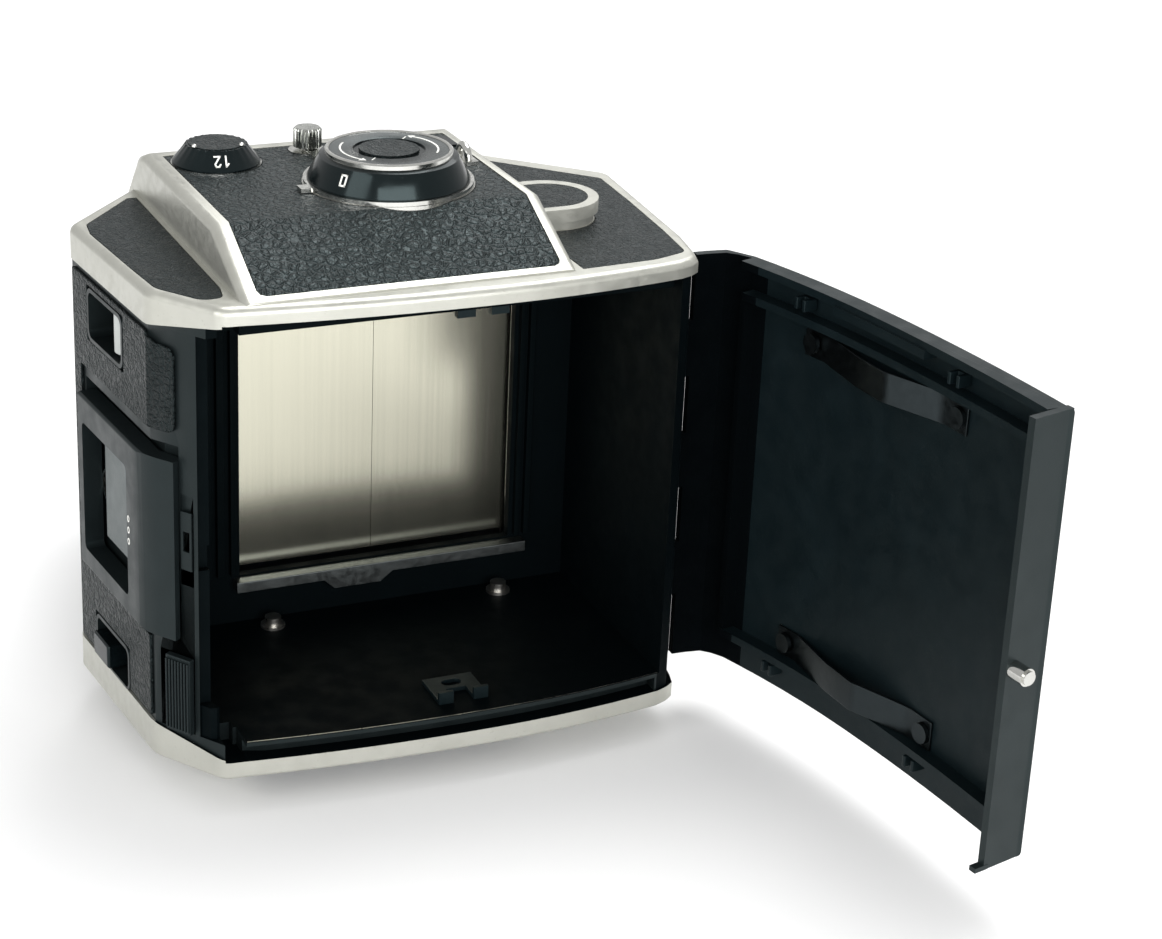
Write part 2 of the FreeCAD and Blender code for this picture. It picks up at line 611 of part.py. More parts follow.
def base_controls():
    slide = face_box(BASE_FRAME, 20.2, 27.9, 3.9, 1.3, LOW_RECESS[2] + 0.7, 19.8)
    node("base_slide", rounded(slide, 0.5, lambda edge: edge.BoundBox.XMax < -53.0))
    node("counter_drum", on_face(BASE_FRAME, plain_bar(DRUM[0], DRUM[1], 79.4, DRUM[2], 7.1)))
    collar = on_face(RELEASE_FRAME, plain_bar(-1.4, RELEASE_U, 30.0, 5.8, 1.9, "x"))
    opening = on_face(RELEASE_FRAME, plain_bar(-3, RELEASE_U, 30.0, 4.35, 6.0, "x"))
    node("release_collar", cut(collar, opening))
    button = on_face(RELEASE_FRAME, plain_bar(-3.9, RELEASE_U, 30.0, 4.1, 7.6, "x"))
    node("shutter_release", rounded(button, 0.7, lambda edge: RELEASE_FRAME.inverse().multVec(
        edge.BoundBox.Center).x < -3.8))


# ---------------------------------------------------------------- inside the chamber
def gate():
    plate = box("chamber_left", "gate_y", "chamber_floor", "chamber_right - chamber_left", "gate_plate",
                "chamber_ceiling - chamber_floor")
    rails = [box(x, "gate_y - 1.2", 24.5, wide, 1.3, 55.3)
             for x, wide in ((-31.4, 1.5), (-28.9, 1.6), (-26.2, 1.1), (33.3, 1.0), (35.3, 1.2))]
    opening = box("gate_left", "gate_y - 3", "gate_low", "gate_right - gate_left", 8, "gate_high - gate_low")
    pad = box(-41.5, "gate_y - 0.5", 30.0, 7.5, 0.6, 44.0)
    node("gate_frame", cut(fuse(plate, pad, *rails), opening))
    bar = prism([(8.0, 21.5), (8.6, 21.5), (10.8, 21.9), (10.8, 23.7), (8.0, 23.7)], -25.5, 60.7, "YZ_Plane")
    tab = prism([(-8.0, 21.8), (-5.5, 19.5), (4.0, 19.5), (7.0, 21.8)], -8.8, 0.8, "XZ_Plane")
    node("gate_sill_bar", fuse(bar, tab))
    studs = []
    for x in (-18.6, 29.0):
        flange = round_bar(x, 7.0, "chamber_floor", 2.4, 0.6)
        studs.append(fuse(flange, round_bar(x, 7.0, "chamber_floor", 1.6, 2.1)))
    node("locating_studs", group(*studs))
    plate = box(0.2, -34.0, "chamber_floor", 9.8, 9.0, 0.8)
    window = fuse(round_bar(4.3, -27.6, 13, 1.1, 3), round_bar(5.9, -27.6, 13, 1.1, 3),
                  box(4.3, -28.7, 13, 1.6, 2.2, 3))
    tongues = [box(x, -34.0, "chamber_floor", 2.9, 0.8, 2.4) for x in (0.2, 7.1)]
    bracket = cut(fuse(plate, *tongues), box(3.1, -34.5, 13, 4.0, 4.6, 5), window)
    node("insert_bracket", bracket)
    clips = [box(x, -32.1, "chamber_ceiling - 1.5", 3.4, 1.6, 1.5) for x in (2.6, 9.0)]
    node("ceiling_clips", group(*clips))
    guide = box("chamber_left", -29.4, "chamber_floor", 2.4, 3.4, "chamber_ceiling - chamber_floor")
    foot_tab = prism([(-44.4, -29.4), (-42.3, -29.4), (-41.3, -32.0), (-41.9, -32.4), (-44.4, -31.6)],
                     "chamber_floor", 6.2)
    slot = box("chamber_left - 1", -31, 46.2, 6, 3.0, 4.8)
    wedge = prism(offset_outline(OUTLINE, -0.9), "chamber_floor", 77)
    node("latch_guide", common(cut(fuse(guide, foot_tab), slot), wedge))


# ---------------------------------------------------------------- mirror box, blinds, finder
def mirror_box():
    whole = box("house_left", "gate_y + gate_plate", "house_low", "house_right - house_left",
                "house_front - gate_y - gate_plate", "house_high - house_low")
    inside = box("house_left + house_wall", "gate_y", "house_low + house_wall", 66.5,
                 "house_front - gate_y - house_wall", "house_high - house_low - 2 * house_wall")
    port = box("house_right - 5", 17.0, 26.0, 10, 43.6, 52.5)
    throat = round_bar("axis_x", "house_front - 5", "axis_z", "throat_radius", 10, "y")
    whole = rounded(whole, 2.0, lambda edge: edge.BoundBox.YMin > value("house_front") - 0.1)
    node("mirror_box", cut(whole, inside, port, throat))
    node("focusing_screen", box("house_right - 2.49", 17.1, 26.1, 1.5, 43.4, 52.3))
    sheet_back = box(35.0, 17.5, 25.5, 1.0, 42.6, 53.5)
    barrel = round_bar(35.4, 16.4, 25.5, 1.4, 53.5)
    carrier = cut(fuse(sheet_back, barrel), round_bar(35.4, 16.4, 20, 0.86, 65))
    glass = box(36.02, 18.0, 26.0, 1.2, 41.7, 52.5)
    for label, piece in (("mirror_carrier", carrier), ("reflex_mirror", glass)):
        node(label, turned(group(piece), 45, (35.4, 16.4)))
    pin = round_bar(35.4, 16.4, 22.0, 0.8, 60.5)
    node("mirror_axle", pin)
    flap_low = cut(fuse(box(-24.6, 14.0, 24.6, 28.6, 0.9, 55.3), round_bar(-24.6, 14.9, 24.6, 0.9, 55.3)),
                   round_bar(-24.6, 14.9, 20, 0.55, 65))
    flap_high = cut(fuse(box(4.1, 14.0, 24.6, 28.4, 0.9, 55.3), round_bar(32.5, 14.9, 24.6, 0.9, 55.3)),
                    round_bar(32.5, 14.9, 20, 0.55, 65))
    node("lower_blind", flap_low)
    node("upper_blind", flap_high)
    axles = [round_bar(x, 14.9, 21.5, 0.5, 61.5) for x in (-24.6, 32.5)]
    node("blind_axles", group(*axles))


def finder():
    base = box("house_right", "finder_near", "finder_low", "finder_right - house_right",
               "finder_far - finder_near", "finder_high - finder_low")
    base = rounded(base, 1.5, lambda edge: edge.BoundBox.XMin > value("finder_right") - 0.1)
    inside = box("house_right - 1", "finder_near + 2", "finder_low + 2", "finder_right - house_right + 2",
                 "finder_far - finder_near - 4", "finder_high - finder_low - 4")
    node("finder_base", cut(base, inside))
    lid = box("finder_right + 0.3", "finder_near + 0.4", "finder_low + 0.4", 1.6,
              "finder_far - finder_near - 2.4", "finder_high - finder_low - 0.8")
    barrel = round_bar("finder_right + 1.3", "finder_far - 1.0", "finder_low + 6", 1.0,
                       "finder_high - finder_low - 12")
    bridge = box("finder_right + 0.3", "finder_far - 3.0", "finder_low + 6", 1.0, 2.0,
                 "finder_high - finder_low - 12")
    hole = round_bar("finder_right + 1.3", "finder_far - 1.0", "finder_low", 0.6, 60)
    lug_room = [box("finder_right", "finder_far - 3.6", z, 3, 4, 5.6) for z in (23.6, 75.3)]
    node("hood_lid", cut(fuse(cut(lid, *lug_room), barrel, bridge), hole))
    rod = round_bar("finder_right + 1.3", "finder_far - 1.0", "finder_low + 1.5", 0.55, 53.5)
    lugs = [box("finder_right", "finder_far - 2.0", z, 2.2, 2.0, 3.0) for z in (25.6, 75.9)]
    node("hood_hinge", fuse(rod, *lugs))


# ---------------------------------------------------------------- lens
def tube(start, length, outer, inner):
    return cut(round_bar("axis_x", start, "axis_z", outer, length, "y"),
               round_bar("axis_x", start - 1, "axis_z", inner, length + 2, "y"))


def grooved(ring, start, length, radius, count):
    """Shallow straight grooves along a ring, evenly spaced round the lens axis."""
    tools = []
    for index in range(count):
        angle = 2 * math.pi * index / count
        tools.append(round_bar(value("axis_x") + radius * math.cos(angle), start,
                               value("axis_z") + radius * math.sin(angle), 0.8, length, "y"))
    return cut(ring, *tools)


def lens():
    node("lens_mount_ring", tube(64.0, 3.0, "mount_radius", "throat_radius"))
    flange = round_bar("axis_x", 67.0, "axis_z", 30.0, 3.0, "y")
    stem = round_bar("axis_x", 67.0, "axis_z", 25.5, 19.0, "y")
    head = round_bar("axis_x", 84.7, "axis_z", 28.8, 10.3, "y")
    bores = [round_bar("axis_x", 66.0, "axis_z", 17.0, 30, "y"),
             round_bar("axis_x", 71.5, "axis_z", 21.5, 30, "y"),
             round_bar("axis_x", 89.5, "axis_z", 26.0, 10, "y")]
    barrel = rounded(fuse(flange, stem, head), 0.7, lambda edge: edge.BoundBox.YMin > 94.9)
    node("lens_barrel", cut(barrel, *bores))
    node("focus_ring", grooved(tube(70.2, 9.8, "lens_ring", 25.56), 70.0, 8.0, value("lens_ring") + 0.25, 36))
    node("aperture_ring", grooved(tube(80.2, 4.3, 28.2, 25.56), 80.0, 2.4, 28.5, 48))
    node("rear_glass", round_bar("axis_x", 68.0, "axis_z", 16.97, 3.0, "y"))
    front = common(round_bar("axis_x", 84.5, "axis_z", 21.47, 5.0, "y"), ball("axis_x", 34.0, "axis_z", 55.0))
    node("front_glass", front)
    node("iris_ring", cut(round_bar("axis_x", 77.0, "axis_z", 21.47, 1.0, "y"),
                          round_bar("axis_x", 76.0, "axis_z", 11.0, 3.0, "y")))


def ball(x, y, z, radius):
    obj = fresh("Part::Sphere")
    for prop, expression in (("Radius", radius), ("Placement.Base.x", x), ("Placement.Base.y", y),
                             ("Placement.Base.z", z)):
        bind(obj, prop, expression)
    return obj


# ---------------------------------------------------------------- controls on the top plateau
def dials():
    floor = PLATEAU_TOP - 0.75
    seats = []
    sheet_piece = NODES["plateau_leather"]
    holes = []
    for x, y, radius in (("dial_x", "dial_y", 15.8), ("selector_x", "selector_y", 8.4),
                         ("knob_x", "knob_y", 3.6)):
        holes.append(round_bar(x, y, floor - 1, radius + 0.05, 3))
    sheet_piece.Label = "plateau_leather_sheet"
    node("plateau_leather", cut(sheet_piece, *holes))
    node("dial_seat", fuse(round_bar("dial_x", "dial_y", floor, 15.8, 0.75),
                           round_bar("dial_x", "dial_y", floor, 2.4, 5.6)))
    ring = cut(round_bar("dial_x", "dial_y", PLATEAU_TOP + 0.05, "dial_ring_radius", 0.75),
               round_bar("dial_x", "dial_y", PLATEAU_TOP - 1, 6.0, 4))
    tab = box("dial_x - dial_ring_radius - 2.0", "dial_y - 2.6", PLATEAU_TOP + 0.05, 4.0, 2.6, 0.75)
    node("pointer_ring", fuse(ring, tab))
    base = PLATEAU_TOP + 0.85
    skirt = cone("dial_x", "dial_y", base, "dial_skirt_radius", 12.4, 4.6)
    top = round_bar("dial_x", "dial_y", base + 4.6, 10.85, 0.8)
    socket = round_bar("dial_x", "dial_y", base - 1, 2.45, 5.2)
    trough = cut(round_bar("dial_x", "dial_y", base + 5.0, 6.6, 1),
                 round_bar("dial_x", "dial_y", base + 4, 5.6, 3))
    centre = round_bar("dial_x", "dial_y", base + 5.0, 5.6, 1)
    node("winding_dial", cut(fuse(skirt, top), socket, trough, centre))
    node("dial_rim", cut(round_bar("dial_x", "dial_y", base + 4.6, "dial_top_radius", 1.0),
                         round_bar("dial_x", "dial_y", base + 4, 10.86, 3)))
    node("dial_leather", round_bar("dial_x", "dial_y", base + 5.0, 5.5, 0.5))
    node("selector_seat", fuse(round_bar("selector_x", "selector_y", floor, 8.4, 0.75),
                               round_bar("selector_x", "selector_y", floor, 1.6, 3.6)))
    selector = cone("selector_x", "selector_y", PLATEAU_TOP + 0.05, "selector_radius", "selector_top", 3.5)
    node("selector_dial", cut(selector, round_bar("selector_x", "selector_y", PLATEAU_TOP - 1, 1.65, 4.1),
                              round_bar("selector_x", "selector_y", PLATEAU_TOP + 3.1, 5.2, 2)))
    node("selector_leather", round_bar("selector_x", "selector_y", PLATEAU_TOP + 3.1, 5.15, 0.6))
    node("knob_seat", fuse(round_bar("knob_x", "knob_y", floor, 3.6, 0.75),
                           round_bar("knob_x", "knob_y", floor, 1.0, 3.6),
                           box("knob_x - 1.2", "knob_y - 7.0", PLATEAU_TOP - 0.1, 2.4, 5.5, 0.6)))
    knob = round_bar("knob_x", "knob_y", PLATEAU_TOP + 0.55, "knob_radius", "knob_height - 0.6")
    node("knurled_knob", cut(knob, round_bar("knob_x", "knob_y", PLATEAU_TOP, 1.05, 3.2)))
    loop = fresh("Part::Torus")
    loop.Radius1 = 2.3
    loop.Radius2 = 0.75
    loop.Placement = Placement(Vector(18.8, 6.6, PLATEAU_TOP + 0.5), Rotation(Vector(0, 1, 0), 90))
    plate = box(17.2, 2.8, PLATEAU_TOP - 0.1, 3.2, 7.6, 0.7)
    node("strap_lug", fuse(plate, cut(loop, box(10, 0, PLATEAU_TOP - 6, 20, 20, 6))))
    node("blank_plate", box(17.6, 15.2, PLATEAU_TOP - 0.1, 3.6, 6.4, 0.45))


# ---------------------------------------------------------------- back door
def opened(obj):
    """Swing a piece drawn closed out to where the door stands at rest."""
    centre = Vector(value("hinge_x"), value("hinge_y"), 0)
    swing = Placement(Vector(), Rotation(Vector(0, 0, 1), value("door_open")), centre)
    obj.Placement = swing.multiply(obj.Placement)
    return obj


def panel_line(start, end):
    """Stations of the door's bowed line between two x positions."""
    inside = [x for x in BACK_STATIONS if start + 0.5 < x < end - 0.5]
    return [(x, back_level(x, "door_curl")) for x in [start] + inside + [end]]


def panel_bar(start, end, low, tall, depth):
    """A rib on the inside of the door that follows its bow."""
    return prism(strip(panel_line(start, end), -depth, 0.45), low, tall)


def door_level(x, lift):
    """A point a given height above the inside of the closed door."""
    return back_level(x, "door_curl") - value("door_gap") + lift


def back_door():
    gap = value("door_gap")
    tall = "door_high - door_low"
    run = panel_line(-39.5, 44.0) + RIGHT_CORNER[:3] + [(49.63, -28.7)]
    skin = prism(strip(run, gap, gap + value("door_sheet")), "door_low", tall)
    skin = rounded(skin, 0.8, lambda edge: edge.BoundBox.ZLength < 1e-3 and edge.BoundBox.YMin < -36.9
                   and outside_panel(edge))
    lean = Vector(-0.077, 0.997, 0)
    start = Vector(-39.5, door_level(-39.5, -value("door_sheet")), 0)
    tip = start + lean * value("door_return")
    flange = prism([(start.x, start.y), (start.x + 1.5, start.y), (tip.x + 1.5, tip.y), (tip.x, tip.y)],
                   "door_low", tall)
    lip = tip + lean * 2.0
    hook = prism([(tip.x, tip.y - 1), (tip.x + 1.5, tip.y - 1), (lip.x + 1.5, lip.y), (lip.x, lip.y)],
                 "door_low", 0.9)
    returns = [panel_bar(-38.2, 43.8, "door_high - 1.5", 1.5, 2.4), panel_bar(-6.0, 19.0, 90.4, 1.6, 2.9),
               panel_bar(-38.2, 43.0, 85.9, 1.5, 2.5), panel_bar(-38.2, 43.0, 17.0, 1.5, 2.5)]
    side_rib = box(42.0, door_level(42.0, -0.3), 17.0, 1.4, 3.0, 70.3)
    whole = fuse(skin, flange, hook, side_rib, knuckles(1, 1.2), *returns)
    node("back_door", opened(cut(whole, hinge_bore())))
    pin_start = start + lean * 7.2
    pin = round_bar(pin_start.x - 3.4, pin_start.y, 48.6, 1.6, 3.3, "x")
    head = round_bar(pin_start.x - 3.9, pin_start.y, 48.6, 1.25, 0.5, "x")
    node("latch_pin", opened(fuse(pin, head)))
    sheets = []
    rivets = []
    for height, shift in (("spring_high", 0.0), ("spring_low", 1.0)):
        path = [(28.4, 0.12), (23.2, 0.12), (11.6, 3.0), (3.6, 3.7), (2.0, 3.3), (-7.8, 0.6), (-9.8, 0.12),
                (-15.6, 0.12)]
        line = strip([(x + shift, door_level(x + shift, lift)) for x, lift in path], 0.0,
                     value("spring_sheet"))
        sheets.append(prism(line, "%s - spring_width / 2" % height, "spring_width"))
        for x in (26.2, -13.5):
            rivets.append(round_bar(x + shift, door_level(x + shift, value("spring_sheet") + 0.3), height,
                                    1.9, 0.8, "y"))
    node("film_springs", opened(group(*sheets)))
    node("spring_rivets", opened(group(*rivets)))
    clips = []
    for x, z in ((26.4, 88.4), (-15.2, 88.4), (27.8, 14.4), (-13.6, 14.4)):
        block_ = box(x, door_level(x + 1.5, 0.15), z, 3.0, 2.9, 2.2)
        clips.append(cut(block_, box(x + 0.8, door_level(x + 1.5, 1.3), z - 0.5, 1.4, 3.0, 3.5)))
    node("door_clips", opened(group(*clips)))


def outside_panel(edge):
    """True for the outer edges of the door's skin, along its top and bottom."""
    middle = edge.valueAt((edge.FirstParameter + edge.LastParameter) / 2)
    return middle.y < back_level(middle.x, "door_curl") - value("door_gap") - value("door_sheet") * 0.6


for make in (body_shell, upper_cap, shoulder_leather, plateau_leather, boss_leather, lower_cap, lower_leather,
             base_leather, latch_plate, tripod_bush, catch_slider, release_key, base_controls, gate, mirror_box,
             finder, lens, dials, back_door):
    make()
node("hinge_pin", round_bar("hinge_x", "hinge_y", HINGE_LOW, "pin_radius", 79.3))

doc.recompute()
faults = []
for obj in doc.Objects:
    if "Invalid" in obj.State or "Error" in obj.State:
        faults.append("%s (%s): %s" % (obj.Name, obj.Label, obj.State))
for name, obj in NODES.items():
    if obj.Shape.isNull() or not obj.Shape.isValid() or not obj.Shape.Solids:
        faults.append("%s: unusable shape" % name)
if faults:
    raise RuntimeError("; ".join(faults))
os.makedirs("parts", exist_ok=True)
for name, obj in NODES.items():
    obj.Shape.exportStep("parts/%s.step" % name)
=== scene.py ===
"""Looks of the medium format reflex camera: materials, softened shells, dials, figures, lights and view."""
import json
import math
import bmesh
import bpy
from mathutils import Matrix, Vector


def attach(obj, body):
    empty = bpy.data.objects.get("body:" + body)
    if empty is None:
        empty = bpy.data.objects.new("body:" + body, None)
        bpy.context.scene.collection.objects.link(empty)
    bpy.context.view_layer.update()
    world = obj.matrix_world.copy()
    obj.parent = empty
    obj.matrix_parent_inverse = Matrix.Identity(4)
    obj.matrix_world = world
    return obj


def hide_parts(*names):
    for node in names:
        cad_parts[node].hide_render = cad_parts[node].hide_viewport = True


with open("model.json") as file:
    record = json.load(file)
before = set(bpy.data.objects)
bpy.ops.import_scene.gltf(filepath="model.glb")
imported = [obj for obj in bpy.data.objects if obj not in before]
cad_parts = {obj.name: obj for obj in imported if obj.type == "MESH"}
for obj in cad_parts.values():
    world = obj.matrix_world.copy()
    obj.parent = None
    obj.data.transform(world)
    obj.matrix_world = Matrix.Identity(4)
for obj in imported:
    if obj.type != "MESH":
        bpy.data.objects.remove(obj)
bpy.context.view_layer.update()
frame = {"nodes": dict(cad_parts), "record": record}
nodes = frame["nodes"]
BODY_OF = {node: body for body, group in frame["record"]["behaviour"]["bodies"].items() for node in group}

# ---------------------------------------------------------------- places and sizes in millimetres
MM = 0.001
# top of the raised middle of the upper side cap, and the middles of what stands on it
PLATEAU_TOP = 105.6
DIAL = (0.5, -2.3)
SELECTOR = (-25.7, 18.7)
KNOB = (-7.0, 21.5)
# the bowed back: its outermost line, and how fast it falls away to the left and to the right of it
BACK_Y = -39.3
CROWN_X = 10.0
CURL_LEFT = 0.00142
CURL_RIGHT = 0.0024
# chamber in the shell
CHAMBER_SIDE = 44.7
CHAMBER_BACK = -36.5
GATE_Y = 13.0
FLOOR_TOP = 14.0
CEILING = 93.7
# edges of the side caps' silver bands: faces between these two heights look into the camera
LOW_BAND = 10.2
HIGH_BAND = 94.0
# the open door: its hinge, its swing, and how far from the hinge its free edge, painted lighter grey as a
# painted highlight, starts and its velvet ends
HINGE = (49.6, -25.2)
SWING = math.radians(98.9)
FREE_EDGE = -87.9
VELVET_EDGE = -11.2
# the wall of the base, from its bend to its far corner
BASE_NEAR = (-50.8, -22.3)
BASE_FAR = (-54.4, 16.5)
# thickness of painted marks and of painted figures
MARK = 0.05
INK_DEPTH = 0.06


# ---------------------------------------------------------------- materials
class Look:
    """A principled material with a small vocabulary of procedural texture nodes."""

    def __init__(self, name, colour, rough, metal=0.0, **sockets):
        self.material = bpy.data.materials.new(name)
        self.material.use_nodes = True
        self.tree = self.material.node_tree
        self.shader = self.tree.nodes["Principled BSDF"]
        self.put("Base Color", (*colour, 1.0))
        self.put("Roughness", rough)
        self.put("Metallic", metal)
        for socket, amount in sockets.items():
            self.put(socket.replace("_", " "), amount)
        self.place = self.add("ShaderNodeTexCoord").outputs["Object"]
        self.height = None

    def add(self, kind, **settings):
        made = self.tree.nodes.new(kind)
        for key, amount in settings.items():
            setattr(made, key, amount)
        return made

    def link(self, source, target):
        self.tree.links.new(source, target)

    def put(self, socket, amount):
        self.shader.inputs[socket].default_value = amount

    def scaled(self, x, y, z):
        """Coordinates stretched differently along each axis, per metre."""
        mapping = self.add("ShaderNodeMapping")
        mapping.inputs["Scale"].default_value = (x, y, z)
        self.link(self.place, mapping.inputs["Vector"])
        return mapping.outputs["Vector"]

    def noise(self, size, detail=4.0, rough=0.55, place=None):
        """Noise whose features are about size millimetres across."""
        made = self.add("ShaderNodeTexNoise")
        made.inputs["Scale"].default_value = 1.0 / (size * MM) if place is None else 1.0
        made.inputs["Detail"].default_value = detail
        made.inputs["Roughness"].default_value = rough
        self.link(place or self.place, made.inputs["Vector"])
        return made.outputs["Fac"]

    def ramp(self, source, low, high, start=0.0, end=1.0):
        """A smooth step from start to end while the source goes from low to high."""
        made = self.add("ShaderNodeMapRange")
        made.interpolation_type = "SMOOTHSTEP"
        for socket, amount in (("From Min", low), ("From Max", high), ("To Min", start), ("To Max", end)):
            made.inputs[socket].default_value = amount
        self.link(source, made.inputs["Value"])
        return made.outputs["Result"]

    def maths(self, operation, first, second):
        made = self.add("ShaderNodeMath", operation=operation)
        for index, item in enumerate((first, second)):
            if isinstance(item, (int, float)):
                made.inputs[index].default_value = item
            else:
                self.link(item, made.inputs[index])
        return made.outputs[0]

    def tint(self, factor, other):
        """Blend the base colour towards another one by a factor."""
        made = self.add("ShaderNodeMix", data_type="RGBA")
        made.inputs[0].default_value = 0.5
        self.link(factor, made.inputs[0])
        source = self.shader.inputs["Base Color"]
        if source.links:
            self.link(source.links[0].from_socket, made.inputs[6])
        else:
            made.inputs[6].default_value = source.default_value
        made.inputs[7].default_value = (*other, 1.0)
        self.link(made.outputs[2], source)

    def roughen(self, source, low, high):
        """Vary the roughness between low and high with the source."""
        self.link(self.ramp(source, 0.3, 0.7, low, high), self.shader.inputs["Roughness"])

    def bump(self, source, depth):
        """Raise the surface by depth millimetres where the source is one."""
        made = self.add("ShaderNodeBump")
        made.inputs["Strength"].default_value = 1.0
        made.inputs["Distance"].default_value = depth * MM
        self.link(source, made.inputs["Height"])
        if self.height is not None:
            self.link(self.height, made.inputs["Normal"])
        self.height = made.outputs["Normal"]
        self.link(self.height, self.shader.inputs["Normal"])


# tint of the highlights on everything black
TEAL = (0.72, 0.95, 0.97, 1.0)


def leather_look(name, scale, depth, pale, shine):
    """Pebbled leather: scale is pebbles per metre, depth that of the cracks in millimetres; the pebble tops
    are painted lighter as a painted highlight, with the cracks left dark as painted shade.
    """
    look = Look(name, (0.004, 0.0055, 0.0058), 0.38, Specular_IOR_Level=shine, Specular_Tint=TEAL)
    wander = look.add("ShaderNodeTexNoise")
    wander.inputs["Scale"].default_value = 900
    wander.inputs["Detail"].default_value = 2
    look.link(look.place, wander.inputs["Vector"])
    push = look.add("ShaderNodeVectorMath", operation="MULTIPLY_ADD")
    push.inputs[1].default_value = (0.0008, 0.0008, 0.0008)
    look.link(wander.outputs["Color"], push.inputs[0])
    look.link(look.place, push.inputs[2])
    heights = []
    for step, wide in ((scale, 0.2), (scale * 2.1, 0.16)):
        cells = look.add("ShaderNodeTexVoronoi", feature="DISTANCE_TO_EDGE")
        cells.inputs["Scale"].default_value = step
        look.link(push.outputs[0], cells.inputs["Vector"])
        heights.append(look.ramp(cells.outputs["Distance"], 0.0, wide))
    pebbles = look.maths("MULTIPLY", heights[0], look.ramp(heights[1], 0.0, 1.0, 0.55, 1.0))
    pebbles = look.maths("MULTIPLY", pebbles, look.ramp(look.noise(2.2), 0.3, 0.7, 0.6, 1.0))
    # painted highlight on the pebble tops and painted shade in the cracks: the tops are tinted lighter along
    # the pebble relief
    look.tint(look.ramp(pebbles, 0.15, 1.0, 0.0, pale), (0.013, 0.0165, 0.017))
    look.roughen(look.noise(1.5), 0.3, 0.46)
    look.bump(pebbles, depth)
    look.bump(look.noise(0.25, 2.0), 0.03)
    return look.material


def cap_look():
    """Champagne silver of the side caps, a little stained and worn."""
    look = Look("champagne_silver", (0.47, 0.47, 0.425), 0.42, 0.7)
    look.tint(look.ramp(look.noise(6.0), 0.35, 0.75, 0.0, 0.5), (0.41, 0.41, 0.365))
    specks = look.ramp(look.noise(0.9, 2.0), 0.66, 0.74)
    look.tint(look.maths("MULTIPLY", specks, 0.35), (0.34, 0.32, 0.28))
    look.roughen(look.noise(2.2), 0.3, 0.46)
    look.bump(look.noise(0.35, 3.0), 0.012)
    look.bump(look.noise(4.0, 2.0), 0.05)
    return look.material


def paint_look(name, colour, rough, grain=0.012, worn=(0.03, 0.034, 0.034), coat=0.0, shine=0.22):
    """Black or grey paint with dust specks, faint patches and a fine grain of so many millimetres."""
    look = Look(name, colour, rough, Specular_IOR_Level=shine, Specular_Tint=TEAL, Coat_Weight=coat,
                Coat_Roughness=0.2)
    dust = look.ramp(look.noise(0.5, 5.0), 0.6, 0.78)
    look.tint(look.maths("MULTIPLY", dust, 0.25), worn)
    look.tint(look.ramp(look.noise(9.0, 3.0), 0.4, 0.8, 0.0, 0.3), tuple(c * 1.9 for c in colour))
    look.roughen(look.noise(5.0), rough - 0.05, rough + 0.08)
    look.bump(look.noise(0.22, 2.0), grain)
    return look.material


def metal_look(name, colour, rough, grain=0.0042):
    """Bare or plated metal with duller patches and a fine grain of so many millimetres."""
    look = Look(name, colour, rough, 1.0)
    look.tint(look.ramp(look.noise(1.8), 0.4, 0.8, 0.0, 0.4), tuple(c * 0.8 for c in colour))
    look.roughen(look.noise(1.2), max(rough - 0.05, 0.03), rough + 0.07)
    look.bump(look.noise(0.3, 2.0), grain)
    return look.material


def blind_look():
    """Metal brushed up and down, smooth enough to mirror the chamber floor."""
    look = Look("brushed_blind", (0.61, 0.595, 0.485), 0.18, 1.0)
    streaks = look.noise(1.0, 5.0, 0.6, look.scaled(1500, 900, 8))
    look.tint(look.ramp(streaks, 0.35, 0.75, 0.0, 0.35), (0.51, 0.5, 0.405))
    look.roughen(streaks, 0.17, 0.19)
    look.bump(look.noise(0.3, 2.0), 0.0001)
    return look.material


def glass_look():
    """Lens glass with a faint coating."""
    look = Look("coated_glass", (0.55, 0.62, 0.8), 0.03, Transmission_Weight=0.85, IOR=1.5, Coat_Weight=0.4)
    look.tint(look.ramp(look.noise(12.0), 0.3, 0.7, 0.0, 0.6), (0.75, 0.6, 0.72))
    look.bump(look.noise(3.0), 0.002)
    return look.material


